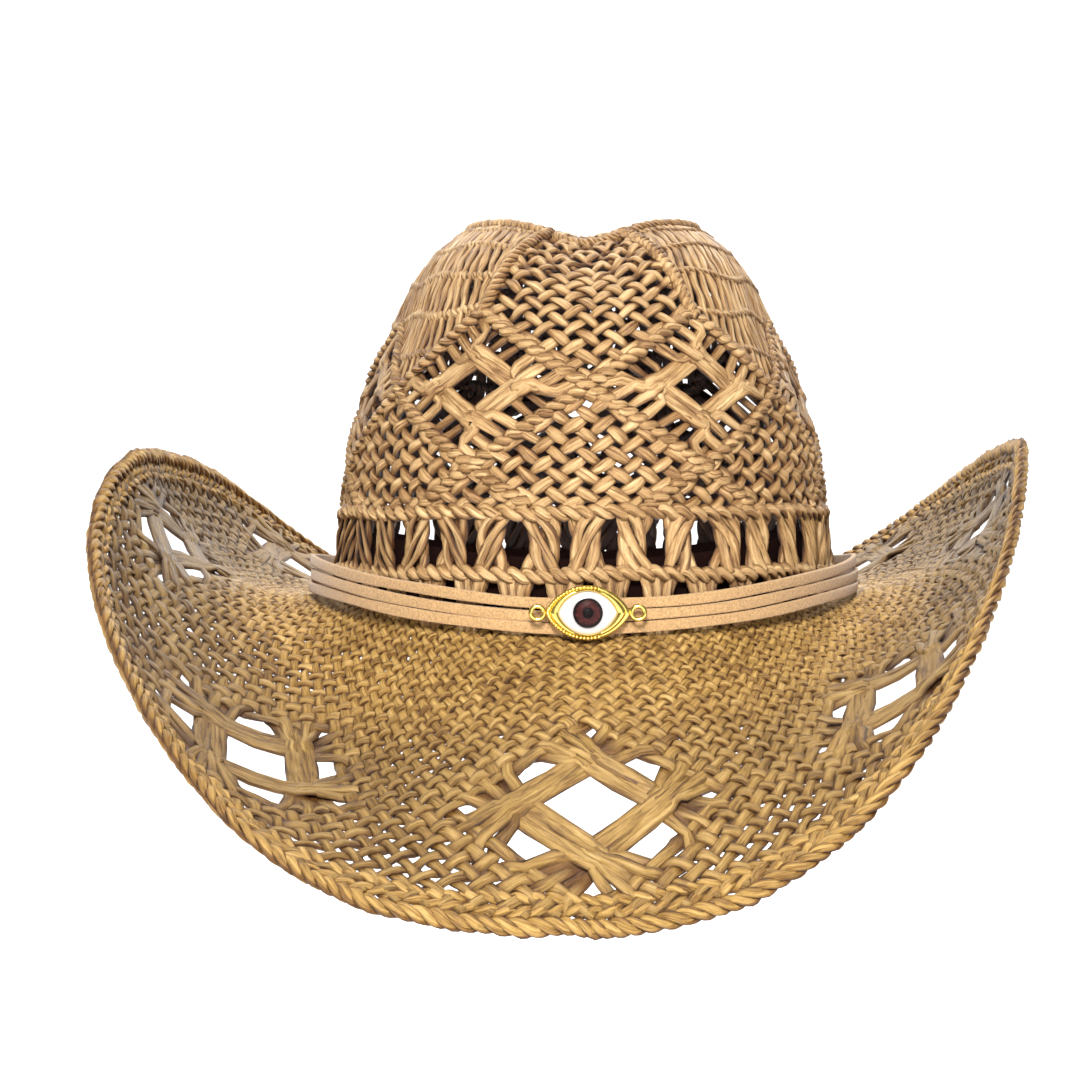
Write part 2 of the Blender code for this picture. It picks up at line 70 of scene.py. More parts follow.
# ---- sizes that the CAD model has too
HALF_WIDTH, HALF_LENGTH, CROWN_HEIGHT = 0.0816, 0.100, 0.1306
FOLD_DIP, FOLD_RISE = 0.0100, 0.0100
SQUARE_SIDE, SQUARE_END = 4.85, 6.0
TAPER_SIDE, TAPER_END = 0.158, 0.0
CREASE_DEPTH, CREASE_WIDTH, CREASE_LIP = 0.0223, 0.0196, 0.59
CREASE_FOOT, CREASE_RUN = 0.085, 0.035
LIP_START, LIP_RUN = 0.010, 0.045
DENT_DEPTH, DENT_PLACE, DENT_LENGTH = 0.0074, 0.030, 0.040
DENT_HEIGHT, DENT_SPAN, DENT_FADE = 0.088, 0.022, 0.02
FRONT_SLOPES, FRONT_WIDTH = (-29, -66.5), 0.109
BACK_SLOPES, BACK_WIDTH = (-5, -10), 0.0815
RIGHT_SLOPES, RIGHT_WIDTH = (2, 80.5), 0.087
LEFT_SLOPES, LEFT_WIDTH = (-5, 83), 0.089
LEFT_SAG_SLOPES, LEFT_SAG_WIDTH = (-49, 39.5), 0.010
RIGHT_SAG_SLOPES, RIGHT_SAG_WIDTH = (-37, 23), -0.0175
CURL_FRONT, CURL_BACK = 1.97, 3.03
CURL_SHIFT_RIGHT, CURL_SHIFT_LEFT = 0.09, -0.125
BEND_POWER, BEND_STEPS = 1.18, 24
LOWER_ROW, UPPER_ROW = 0.0095, 0.0283
POSTS = 35
POST_RADIUS = 0.088  # the lower crown's mean radius, for turning a shift into a turn
BACK_POSTS = (9, 26)  # between these the tall posts are fuller, at the back of the hat
LACE_FRONT_OUT, LACE_SIDE_OUT, LACE_BACK_OUT = 0.0033, 0.0085, 0.0052
LACE_FRONT_LIFT, LACE_SIDE_LIFT, LACE_BACK_LIFT = 0.0068, 0.0078, 0.0100
LACE_HIGH, LACE_THICK, LACE_GAP = 0.0034, 0.0015, 0.0003
LACE_GAPE_TURN = 0.50  # the upper two laces stand apart here, on the -X side of the charm
KEEPER_LONG, KEEPER_REACH, KEEPER_WALL = 0.0130, 0.0022, 0.0011
BAND_IN, BAND_LIFT, THREAD_LIFT = -0.0022, -0.0010, 0.0045
CHARM_LEVEL = -0.0020
CHARM_LONG, CHARM_HIGH = 0.0128, 0.0083  # half lengths and heights of the charm and of its eye
EYE_LONG, EYE_HIGH = 0.0088, 0.0066
LOOP_PLACE, LOOP_MIDDLE, LOOP_WIRE = 0.0152, 0.0020, 0.0007
ROUND_POWER, POINTED_POWER = 0.69, 0.75  # how blunt the outline is at its -X and its +X end
IRIS_RADIUS, PUPIL_RADIUS, CORNEA_RADIUS = 0.0045, 0.0016, 0.0050
IRIS_FRONT = 0.0029  # from the charm's back to the iris

# ---- weave
STRAND_WIDE, STRAND_THICK = 0.0037, 0.0016
WAVE = 0.00085  # how far a strand rises over and dips under the ones it crosses
FAMILIES = ((1, "rising"), (-1, "falling"))  # a family's sign is 1 where its strands lean towards +turn
CROWN_STRANDS = 56  # in each of the crown's two slanting families
CROWN_REPEAT = 8  # strands from one motif to the next
CROWN_RISE = 0.00305  # distance along the wall for each strand crossed
SPIDER_CLIMB = 22  # from the fold's level up to the middle of the ring of spider motifs
CELL = CROWN_REPEAT / 2  # half a diamond cell, in strands
CELLS = CROWN_STRANDS // CROWN_REPEAT
RISING_LINE, FALLING_LINE = 5, 3  # the first diamond cell's borders: their a and their b
BORDER_STEP, BORDER_TWIST = 0.16, 1.45 * math.pi
SLOT_ROWS = (26.0, 30.3, 34.6, 38.9, 42.6)  # climbs of the small twined rows over the motifs
BACK_ROWS = (24.2, 28.1, 32.4, 36.8, 40.8)  # more of them, at the back only
TIP_CLIMB = 45.0  # where the tip's round weave starts
UPRIGHTS = 2 * CROWN_STRANDS  # upright strands at the tip's edge
SPOKE_STOPS = ((8, 0.0105), (4, 0.021), (2, 0.040))  # nearer the middle than this, one in 8, 4, 2 goes on
SPOKE_END = 0.0014  # how near the middle the last of them stop
LATTICE_FOOT, LATTICE_LEAN = 30.0, 0.107  # the front lattice's sides start here and lean in by this
LIP_STRANDS, LIP_FOOT, LIP_MIDDLE = 8, 31.5, 39.0  # short strands that close the front lattice's top
TIP_PITCH, TIP_MARGIN = 1.12, 0.55  # from one ring of the tip to the next, and from the last inwards
BRIM_STRANDS, BRIM_REPEAT = 120, 15
BRIM_CLIMB, BRIM_MOTIF_CLIMB = 41.5, 30
CROWN_GATHER = (1.66, 0.25, CELL, 3.2, 1.1)  # half, squeeze, reach, full and fade: see gather
BRIM_GATHER = (2.75, 0.30, 5.0, 4.5, 1.8)
OUTER_BRIM_PAINTED_SHADE = 0.75  # painted shade: the brim's outer weave painted darker than its inner weave, as if it got less light
CURL_PAINTED_SHADE = 0.30  # painted shade: how much darker the curled-up sides are painted, as if they got less light
BRIM_SPREAD = 0.68  # the weave's density at the fold, against 2 minus this at the edge
INNER_PAINTED_SHADE = 0.05  # painted shade: the crown's inside against its outside, darkened to stand in for the shadow inside the hat
PAINTED_SHADE_HUE = (1.0, 1.35, 1.8, 0.0)  # powers of the painted shade for red, green and blue: painted shadows turn red-brown


# ---- the hat's surface

def ease(share):
    share = np.clip(share, 0.0, 1.0)
    return share * share * (3 - 2 * share)


def all_round(count):
    """Turns evenly spaced all the way round."""
    return np.linspace(0, TAU, count, endpoint=False)


def squared(wave, power):
    """A sine wave drawn out towards a square one, which gives an outline rounded corners."""
    return np.sign(wave) * np.abs(wave) ** power


def unit(vectors):
    return vectors / np.maximum(np.linalg.norm(vectors, axis=-1, keepdims=True), 1e-12)


def fold_level(turn):
    return -FOLD_DIP * np.cos(turn) ** 2


def crown_place(turn, level, out=0.0):
    """Points on the crown's middle surface at heights given as shares of the whole height."""
    turn, level, out = np.broadcast_arrays(turn, level, out)
    end = np.cos(turn) ** 2
    square = SQUARE_SIDE + (SQUARE_END - SQUARE_SIDE) * end
    taper = TAPER_SIDE + (TAPER_END - TAPER_SIDE) * end
    level = np.clip(level, 0.0, 1.0)
    size = np.sqrt(1 - level ** square) * (1 - taper * level)
    x = (HALF_WIDTH * size + out) * np.sin(turn)
    y = -(HALF_LENGTH * size + out) * np.cos(turn)
    z = CROWN_HEIGHT * level
    top = ease((z - CREASE_FOOT) / CREASE_RUN)
    lip = 1 - CREASE_LIP * ease((np.abs(y) - LIP_START) / LIP_RUN)
    z = z - CREASE_DEPTH * np.exp(-(x / CREASE_WIDTH) ** 2) * top * lip
    dent = DENT_DEPTH * np.exp(-((y + DENT_PLACE) / DENT_LENGTH) ** 2)
    dent = dent * np.exp(-((z - DENT_HEIGHT) / DENT_SPAN) ** 2)
    x = x - np.sign(x) * dent * ease(np.abs(x) / DENT_FADE)
    return np.stack([x, y, z], -1)


def wall_place(turn, height, out=0.0):
    """Points on the crown's lower wall: level rows, running into the fold's dip at the bottom."""
    points = crown_place(turn, np.maximum(height, 0.0) / CROWN_HEIGHT, out)
    points[..., 2] = height + fold_level(turn) * (1 - ease(height / FOLD_RISE))
    return points


def brim_law(turn):
    """The brim's start slope, end slope and width at each turn, in radians and metres."""
    right = np.sin(turn) > 0
    shift = np.where(right, CURL_SHIFT_RIGHT, CURL_SHIFT_LEFT)
    away = np.arccos(np.clip(np.cos(turn), -1, 1))
    phase = away + shift * np.sin(away) ** 2
    ahead = phase < math.pi / 2
    side = np.where(ahead, np.abs(np.sin(phase)) ** CURL_FRONT, 1 - np.abs(np.cos(phase)) ** CURL_BACK)
    sag = np.where(np.cos(turn) > 0, np.sin(2 * turn) ** 2, 0.0)

    def mix(right_side, left_side, front, back, right_sag, left_sag):
        return (np.where(right, right_side, left_side) * side + np.where(ahead, front, back) * (1 - side)
                + np.where(right, right_sag, left_sag) * sag)

    start, stop = (mix(RIGHT_SLOPES[i], LEFT_SLOPES[i], FRONT_SLOPES[i], BACK_SLOPES[i],
                       RIGHT_SAG_SLOPES[i], LEFT_SAG_SLOPES[i]) for i in (0, 1))
    width = mix(RIGHT_WIDTH, LEFT_WIDTH, FRONT_WIDTH, BACK_WIDTH, RIGHT_SAG_WIDTH, LEFT_SAG_WIDTH)
    return np.radians(start), np.radians(stop), width


def brim_place(turn, reach):
    """Points on the brim's middle surface; reach is 0 at the fold and 1 at the edge."""
    turn, reach = np.broadcast_arrays(np.asarray(turn, float), np.asarray(reach, float))
    start, stop, width = brim_law(turn)
    across, drop = np.zeros(turn.shape), np.zeros(turn.shape)
    for i in range(BEND_STEPS):
        bend = np.maximum((i + 0.5) / BEND_STEPS * reach, 0.0) ** BEND_POWER
        slope = start + (stop - start) * bend
        across += np.cos(slope) * reach * width / BEND_STEPS
        drop += np.sin(slope) * reach * width / BEND_STEPS
    nx, ny = HALF_LENGTH * np.sin(turn), -HALF_WIDTH * np.cos(turn)
    size = np.hypot(nx, ny)
    return np.stack([HALF_WIDTH * np.sin(turn) + nx / size * across,
                     -HALF_LENGTH * np.cos(turn) + ny / size * across, fold_level(turn) + drop], -1)


def arc_table():
    """How far along the wall, on average round the crown, each height share lies."""
    share = np.linspace(0, 1, 400) ** 1.3
    square = (SQUARE_SIDE + SQUARE_END) / 2
    level = np.sin(share * math.pi / 2) ** (2 / square)
    level[-1] = 1.0
    turns = all_round(24)
    points = crown_place(turns[:, None], level[None])
    steps = np.linalg.norm(np.diff(points, axis=1), axis=2).mean(0)
    return level, np.concatenate([[0], np.cumsum(steps)]) / CROWN_RISE


LEVELS, CLIMBS = arc_table()


def crown_by_climb(turn, climb):
    return crown_place(turn, np.interp(climb, CLIMBS, LEVELS))


def brim_by_climb(turn, climb):
    """The brim's weave is closest at the fold and opens steadily towards the edge."""
    share = climb / BRIM_CLIMB
    return brim_place(turn, share * (BRIM_SPREAD + (1 - BRIM_SPREAD) * share))


def with_normals(place, turn, other, step=0.05):
    """Points of a surface with the unit normals that face out of the hat (up, on the brim)."""
    turn, other = np.broadcast_arrays(turn, other)
    points = place(turn, other)
    along = place(turn + TURN_STEP, other) - place(turn - TURN_STEP, other)
    across = place(turn, other + step) - place(turn, other - step)
    return points, unit(np.cross(along, across))


# ---- cord meshes

def tangents(points, closed):
    if closed:
        return unit(np.roll(points, -1, 0) - np.roll(points, 1, 0))
    return unit(np.gradient(points, axis=0))


def placed(name, data):
    obj = bpy.data.objects.new(name, data)
    bpy.context.scene.collection.objects.link(obj)
    return obj


def smooth_mesh(bm, name):
    mesh = bpy.data.meshes.new(name)
    bm.to_mesh(mesh)
    bm.free()
    mesh.shade_smooth()
    return mesh


def link(mesh, name, material, slot, *replaces):
    """A finished mesh as a piece that rides on the hat."""
    obj = placed(name, mesh)
    mesh.materials.append(material)
    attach(obj, "root")
    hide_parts(*replaces)


class Cords:
    """Gathers flattened cords and makes one mesh object of them."""

    # inside multiplies the colour of a cord's side that faces into the crown: painted shade
    def __init__(self, name, material, slot, sides=10, inside=1.0, ridged=1.0, square=0.85):
        self.name, self.material, self.slot, self.sides = name, material, slot, sides
        self.inside, self.ridged, self.square = inside, ridged, square
        self.points, self.faces, self.caps, self.uvs, self.tones, self.painted_shades = [], [], [], [], [], []
        self.count = 0

    def add(self, centre, normal, wide, thick, closed=False, roll=0.0, over=0.0, tone=1.0):
        """One cord along centre, flattened on the side that normal faces, with ridges like twisted paper.

        over is 1 where it lies on the others and -1 where it lies under them, which darkens it there with
        painted shade.
        tone multiplies its colour; the brim passes painted shade through it."""
        n = len(centre)
        roll, wide, thick, over, tone = (np.broadcast_to(value, (n,))[:, None]
                                         for value in (roll, wide, thick, over, tone))
        tangent = tangents(centre, closed)
        side = unit(np.cross(tangent, normal))
        up = np.cross(side, tangent)
        side, up = side * np.cos(roll) + up * np.sin(roll), up * np.cos(roll) - side * np.sin(roll)
        steps = np.linalg.norm(np.diff(centre, axis=0), axis=1)
        length = np.concatenate([[0], np.cumsum(steps)])
        angle = TAU * np.arange(self.sides)[None] / self.sides
        ridge = self.ridges(length[:, None], angle)
        a, b = squared(np.cos(angle), self.square), squared(np.sin(angle), self.square)
        ring = (centre[:, None] + side[:, None] * (a * wide / 2 * ridge)[..., None]
                + up[:, None] * (b * thick / 2 * ridge)[..., None])
        self.points.append(ring.reshape(-1, 3))
        self.add_painted_shade(a, b, over, tone)
        self.add_faces(n, closed, length, np.linalg.norm(centre[0] - centre[-1]))

    def lay(self, place, turn, other, lift, wide, thick, step=0.05, **more):
        """One cord along a line on a surface, lifted off its middle by lift."""
        points, normals = with_normals(place, turn, other, step)
        self.add(points + normals * lift[:, None], normals, wide, thick, **more)

    def ridges(self, run, angle):
        """The relief of twisted paper: three ridges that wind one way, five finer ones, and a swelling."""
        start, twist = rng.random() * TAU, 330 + 160 * rng.random()
        coarse = 0.15 * np.sin(3 * angle + run * twist + start)
        fine = 0.09 * np.sin(5 * angle - run * 900 + 3 * start)
        return 1 + self.ridged * (coarse + fine + 0.05 * np.sin(run * 610 + 5 * start))

    def add_painted_shade(self, a, b, over, tone):
        """Painted shade: darker where a cord dips under another, along its two edges where cords meet, and
        inside.
        """
        under = np.clip(-over * np.sign(b), 0, 1)
        painted_shade = (1 - 0.70 * under) * (1 - 0.68 * np.abs(a) ** 4)
        painted_shade = painted_shade * np.where(b < -0.05, self.inside, 1.0)
        self.painted_shades.append((painted_shade[..., None] ** PAINTED_SHADE_HUE * tone[..., None]).reshape(-1, 4))
        self.tones.append(np.full(painted_shade.size, rng.random()))

    def add_faces(self, n, closed, length, gap):
        sides, first = self.sides, self.count
        i = np.arange(n if closed else n - 1)[:, None]
        j = np.arange(sides)[None]
        far, beside = (i + 1) % n, (j + 1) % sides
        quads = np.stack([i * sides + j, i * sides + beside, far * sides + beside, far * sides + j], -1)
        self.faces.append(quads.reshape(-1, 4) + first)
        shift = rng.random() * 5
        along = np.append(length, length[-1] + gap) + shift
        near_v, far_v = (np.broadcast_to(along[k], (len(i), sides)) for k in (i, i + 1))
        near_u = np.broadcast_to(j / sides, (len(i), sides))
        far_u = near_u + 1 / sides
        corners = ((near_u, near_v), (far_u, near_v), (far_u, far_v), (near_u, far_v))
        uv = np.stack([np.stack(corner, -1) for corner in corners], 2)
        self.uvs.append(uv.reshape(-1, 2))
        if not closed:
            self.caps.append(first + sides - 1 - np.arange(sides))
            self.caps.append(first + (n - 1) * sides + np.arange(sides))
        self.count += n * sides

    def build(self, *replaces):
        quads = np.concatenate(self.faces)
        mesh = bpy.data.meshes.new(self.name)
        mesh.vertices.add(self.count)
        mesh.vertices.foreach_set("co", np.concatenate(self.points).astype(np.float32).ravel())
        corners = np.concatenate([quads.ravel()] + self.caps).astype(np.int32)
        sizes = np.concatenate([np.full(len(quads), 4), np.full(len(self.caps), self.sides)])
        mesh.loops.add(len(corners))
        mesh.loops.foreach_set("vertex_index", corners)
        mesh.polygons.add(len(sizes))
        starts = np.concatenate([[0], np.cumsum(sizes)[:-1]])
        mesh.polygons.foreach_set("loop_start", starts.astype(np.int32))
        mesh.update(calc_edges=True)
        cap_uvs = [np.full((self.sides, 2), 0.5)] * len(self.caps)
        layer = mesh.uv_layers.new(name="cord")
        layer.data.foreach_set("uv", np.concatenate(self.uvs + cap_uvs).astype(np.float32).ravel())
        tone = mesh.attributes.new("tone", "FLOAT", "POINT")
        tone.data.foreach_set("value", np.concatenate(self.tones).astype(np.float32))
        painted_shade = mesh.attributes.new("painted_shade", "FLOAT_COLOR", "POINT")
        painted_shade.data.foreach_set("color", np.concatenate(self.painted_shades).astype(np.float32).ravel())
        mesh.validate()
        mesh.shade_smooth()
        link(mesh, self.name, self.material, self.slot, *replaces)


def wander(n, size):
    """A slow random drift along a cord, for hand-made unevenness."""
    steps = np.arange(n)
    slow = np.sin(steps * 0.21 + rng.random() * TAU)
    return size * (slow + 0.6 * np.sin(steps * 0.53 + rng.random() * TAU))


def twined(cords, place, turns, other, out, radius, phase, wide, thick, closed=True, plies=2):
    """Plies of flattened cord twisted round each other along a line on a surface."""
    points, normals = with_normals(place, turns, other)
    side = np.cross(tangents(points, closed), normals)
    for ply in range(plies):
        angle = phase + ply * TAU / plies
        centre = points + normals * (out + radius * np.cos(angle))[:, None]
        centre = centre + side * (1.15 * radius * np.sin(angle))[:, None]
        cords.add(centre, normals, wide, thick, closed=closed, roll=0.4 * np.cos(angle), over=np.cos(angle))


# ---- materials

class Look:
    """A material on a Principled shader, with the node set-ups that the finishes share."""

    def __init__(self, name):
        self.material = bpy.data.materials.new(name)
        self.material.use_nodes = True
        self.nodes, self.link = self.material.node_tree.nodes, self.material.node_tree.links.new
        self.inputs = bsdf(self.material).inputs

    def node(self, kind, **values):
        made = self.nodes.new(kind)
        for key, value in values.items():
            if key in made.inputs:
                made.inputs[key].default_value = value
            else:
                setattr(made, key, value)
        return made

    def place(self):
        return self.node("ShaderNodeTexCoord").outputs["Object"]

    def noise(self, source, **values):
        made = self.node("ShaderNodeTexNoise", **values)
        self.link(source, made.inputs["Vector"])
        return made.outputs["Fac"]

    def along_cord(self, scale, tilt=0.0):
        """Where a point lies round and along its cord, as it is and scaled."""
        uv = self.node("ShaderNodeUVMap", uv_map="cord").outputs["UV"]
        stretch = self.node("ShaderNodeMapping", Scale=scale, Rotation=(0.0, 0.0, tilt))
        self.link(uv, stretch.inputs["Vector"])
        return uv, stretch.outputs["Vector"]

    def ramp(self, value, stops):
        """The colour at a value, between stops given as (place, colour)."""
        made = self.node("ShaderNodeValToRGB")
        band = made.color_ramp
        while len(band.elements) < len(stops):
            band.elements.new(0.5)
        for element, (place, colour) in zip(band.elements, stops):
            element.position = place
            element.color = (*colour, 1.0)
        self.link(value, made.inputs["Fac"])
        return made.outputs["Color"]

    def add_scaled(self, value, factor, other):
        """value * factor + other, where value is a socket and other a socket or a number."""
        made = self.node("ShaderNodeMath", operation="MULTIPLY_ADD")
        self.link(value, made.inputs[0])
        made.inputs[1].default_value = factor
        if isinstance(other, float):
            made.inputs[2].default_value = other
        else:
            self.link(other, made.inputs[2])
        return made.outputs[0]

    def colour(self, first, second):
        """Gives the shader the product of two colours."""
        made = self.node("ShaderNodeVectorMath", operation="MULTIPLY")
        self.link(first, made.inputs[0])
        self.link(second, made.inputs[1])
        self.link(made.outputs["Vector"], self.inputs["Base Color"])

    def roughen(self, value, low, high):
        rough = self.node("ShaderNodeMapRange")
        rough.inputs["To Min"].default_value = low
        rough.inputs["To Max"].default_value = high
        self.link(value, rough.inputs["Value"])
        self.link(rough.outputs["Result"], self.inputs["Roughness"])

    def emboss(self, height, strength, depth):
        bump = self.node("ShaderNodeBump", Strength=strength, Distance=depth)
        self.link(height, bump.inputs["Height"])
        self.link(bump.outputs["Normal"], self.inputs["Normal"])


def bsdf(material):
    return material.node_tree.nodes["Principled BSDF"]


def straw_material(name, dark, mid, light, gloss):
    """Twisted paper cord: lengthwise wrinkles, a tone for each cord, blotches, and painted shade between and
    under cords and inside the crown, read from a per-point attribute.
    """
    look = Look(name)
    place = look.place()
    _, along = look.along_cord((11.0, 75.0, 1.0), 0.05)
    grain = look.noise(along, Scale=1.0, Detail=6.0, Roughness=0.72, Distortion=0.5)
    blotch = look.noise(place, Scale=90.0, Detail=3.0, Roughness=0.6)
    fine = look.noise(place, Scale=1100.0, Detail=2.0, Roughness=0.6)
    tone = look.node("ShaderNodeAttribute", attribute_name="tone").outputs["Fac"]
    painted_shade = look.node("ShaderNodeAttribute", attribute_name="painted_shade").outputs["Color"]
    mottled = look.add_scaled(tone, 0.20, look.add_scaled(blotch, 0.5, -0.75))
    mixed = look.add_scaled(grain, 1.8, mottled)
    look.colour(look.ramp(mixed, [(0.18, dark), (0.50, mid), (0.85, light)]), painted_shade)
    look.emboss(look.add_scaled(fine, 0.15, grain), 1.0, 0.0011)
    look.roughen(grain, gloss, gloss + 0.30)
    look.inputs["Specular IOR Level"].default_value = 0.5
    return look.material


def plain_material(name, colour, roughness, metallic=0.0, scale=400.0, depth=0.0001, vary=0.08, ribs=None):
    """A finish with fine noise in its colour and roughness, and noise or upright ribs in its height."""
    look = Look(name)
    place = look.place()
    speckle = look.noise(place, Scale=scale, Detail=4.0, Roughness=0.6)
    low = tuple(c * (1 - vary) for c in colour)
    high = tuple(min(c * (1 + vary), 1.0) for c in colour)
    look.link(look.ramp(speckle, [(0.3, low), (0.7, high)]), look.inputs["Base Color"])
    look.roughen(speckle, max(roughness - 0.08, 0.02), min(roughness + 0.08, 1.0))
    if ribs:
        waves = look.node("ShaderNodeTexWave", wave_type="RINGS", rings_direction="Z", Scale=ribs,
                          Distortion=1.0)
        look.link(place, waves.inputs["Vector"])
        look.emboss(waves.outputs["Fac"], 0.6, depth)
    else:
        look.emboss(speckle, 0.5, depth)
    look.inputs["Metallic"].default_value = metallic
    return look.material


def iris_material():
    """Radial streaks, dark by the pupil and brighter outside, with a black rim."""
    look = Look("iris_look")
    uv, along = look.along_cord((46.0, 1.6, 1.0))
    streaks = look.noise(along, Scale=1.0, Detail=3.0, Roughness=0.65)
    stops = [(0.36, (0.010, 0.001, 0.001)), (0.54, (0.045, 0.005, 0.004)), (0.72, (0.17, 0.032, 0.020))]
    split = look.node("ShaderNodeSeparateXYZ")
    look.link(uv, split.inputs["Vector"])
    rings = ((0.30, 0.25), (0.50, 1.0), (0.76, 0.9), (0.88, 0.02))
    rim = look.ramp(split.outputs["Y"], [(radius, (grey,) * 3) for radius, grey in rings])
    look.colour(look.ramp(streaks, stops), rim)
    look.inputs["Roughness"].default_value = 0.35
    return look.material


def clear_dome():
    """A thin clear skin: the layers under it have a gloss of their own."""
    look = Look("dome_look")
    look.inputs["Base Color"].default_value = (0.10, 0.08, 0.08, 1.0)
    look.inputs["Alpha"].default_value = 0.04
    look.inputs["Roughness"].default_value = 0.03
    return look.material


def glazed(material, weight):
    """Adds a clear gloss coat over a finish."""
    inputs = bsdf(material).inputs
    inputs["Coat Weight"].default_value = weight
    inputs["Specular IOR Level"].default_value = 0.05
    inputs["Coat Roughness"].default_value = 0.04
    return material


CROWN_STRAW = straw_material("straw_crown_look", (0.125, 0.044, 0.010), (0.47, 0.277, 0.110),
                             (0.78, 0.54, 0.27), 0.34)
BRIM_STRAW = straw_material("straw_brim_look", (0.135, 0.052, 0.008), (0.45, 0.262, 0.062),
                            (0.68, 0.44, 0.155), 0.32)
SUEDE = plain_material("suede_look", (0.44, 0.262, 0.112), 0.94, scale=1500.0, depth=0.0007, vary=0.34)
bsdf(SUEDE).inputs["Sheen Weight"].default_value = 0.25
ELASTIC = plain_material("elastic_look", (0.009, 0.0030, 0.0022), 0.9, scale=1600.0, depth=0.0004, vary=0.4,
                         ribs=170.0)
bsdf(ELASTIC).inputs["Specular IOR Level"].default_value = 0.05
THREAD = plain_material("thread_look", (0.02, 0.018, 0.018), 0.7, scale=3000.0)
STEEL = plain_material("wire_look", (0.55, 0.55, 0.57), 0.35, metallic=1.0, scale=2000.0, depth=0.00002)
GLUE = plain_material("glue_look", (0.70, 0.68, 0.60), 0.4, scale=700.0)
GOLD = plain_material("gold_look", (0.87, 0.66, 0.17), 0.20, metallic=1.0, scale=700.0, depth=0.00006,
                      vary=0.10)
ENAMEL = glazed(plain_material("enamel_look", (0.52, 0.47, 0.465), 0.3, scale=260.0, depth=0.00002,
                               vary=0.05), 0.7)
IRIS = glazed(iris_material(), 0.3)
PUPIL = glazed(plain_material("pupil_look", (0.002, 0.001, 0.001), 0.5, scale=900.0, depth=0.00001), 0.02)
DOME = clear_dome()


# ---- crown

# Crown cords, with their inner side painted dark as painted shade for the hat's shadowed inside.
def crown_cords(name, sides=10):
    return Cords(name, CROWN_STRAW, "straw_crown", sides, INNER_PAINTED_SHADE)


def bundle(offset, half, squeeze, reach):
    """Draws the strands within reach of a motif's middle into a bundle on each side of it."""
    inside = np.sign(offset) * (half + (np.abs(offset) - reach / 2) * squeeze)
    near = ease(np.abs(offset) / 0.5)
    inside = inside * near + offset * (1 - near)
    past = ease((np.abs(offset) - reach) / 1.0)
    return inside * (1 - past) + offset * past


def window(offset, full, fade):
    return 1 - ease((np.abs(offset) - full) / fade)


def gather(a, b, repeat, shift, climb, half, squeeze, reach, full, fade):
    """Moves strand coordinates so that the strands gather into bundles round a ring of motifs.

    The bundles stand half from the middle, hold the strands within reach of it, squeezed to a share of
    their spacing, and open again past full over the length fade. Also gives how strongly each point takes
    part, and which side of the knots it is on."""
    nearest = np.round(((a + b) / 2 - shift) / repeat) * repeat + shift
    da, db = a - nearest + climb / 2, b - nearest - climb / 2
    pull_a = window(db, full, fade) * window(da, reach, 0.6)
    pull_b = window(da, full, fade) * window(db, reach, 0.6)
    new_a = a + pull_a * (bundle(da, half, squeeze, reach) - da)
    new_b = b + pull_b * (bundle(db, half, squeeze, reach) - db)
    knot = np.clip(da / half, -1, 1) * np.clip(db / half, -1, 1)
    return new_a, new_b, window(da, reach, 0.6) * window(db, reach, 0.6), knot


def slanting(sign, start, climb):
    """A slanting strand's a and b at each climb, and where it goes over (1) and under (-1) the others."""
    a, b = start - climb * (sign < 0), start + climb * (sign > 0)
    return a, b, sign * np.cos(math.pi * ((b if sign > 0 else a) - start))


def strand_end(sign, start):
    """The climb at which a slanting crown strand turns upright, over the ring of spider motifs."""
    if sign > 0:
        cell = round((start + CROWN_REPEAT - 1) / CROWN_REPEAT)
        border = CROWN_REPEAT * (cell + 2) + FALLING_LINE
        past_front = cell % CELLS == CELLS - 1
        return border + past_front * CROWN_REPEAT - start
    cell = round((start - 2 * CROWN_REPEAT + 1) / CROWN_REPEAT)
    border = CROWN_REPEAT * (cell - 2) + RISING_LINE
    past_front = cell % CELLS == 0
    return start - (border - past_front * CROWN_REPEAT)


def tip_spokes(climb):
    """How many upright strands are left at a climb: half of them stop each time the tip has narrowed."""
    left = (CLIMBS[-1] - climb) * CROWN_RISE
    spokes = UPRIGHTS
    for size, gap in reversed(SPOKE_STOPS):
        spokes = np.where(left > gap, spokes, UPRIGHTS // size)
    return spokes


def spoke_phase(turn, climb):
    step = UPRIGHTS / tip_spokes(climb)
    return math.pi * (turn / TAU * UPRIGHTS - 0.5) / step


def strand_stop(turn):
    """The last climb of an upright strand, from its rank round the tip."""
    rank = int(round(turn / TAU * UPRIGHTS - 0.5)) % UPRIGHTS
    left = SPOKE_END
    for size, gap in SPOKE_STOPS:
        if rank % size:
            left = gap
    return CLIMBS[-1] - left / CROWN_RISE


def from_front(turn):
    """A turn in strands, from -28 to 28 with 0 at the front."""
    return (turn / TAU * CROWN_STRANDS + CROWN_STRANDS / 2) % CROWN_STRANDS - CROWN_STRANDS / 2


def lattice_half(climb):
    """Half the width, in strands, of the lattice that runs up the front to the crown's lip."""
    return CELL - LATTICE_LEAN * (climb - LATTICE_FOOT)


def lattice_end(sign, middle, high):
    """Where a strand that would end inside the front lattice's column meets the column's side instead."""
    return (CELL + LATTICE_LEAN * LATTICE_FOOT - sign * middle + high / 2) / (0.5 + LATTICE_LEAN)


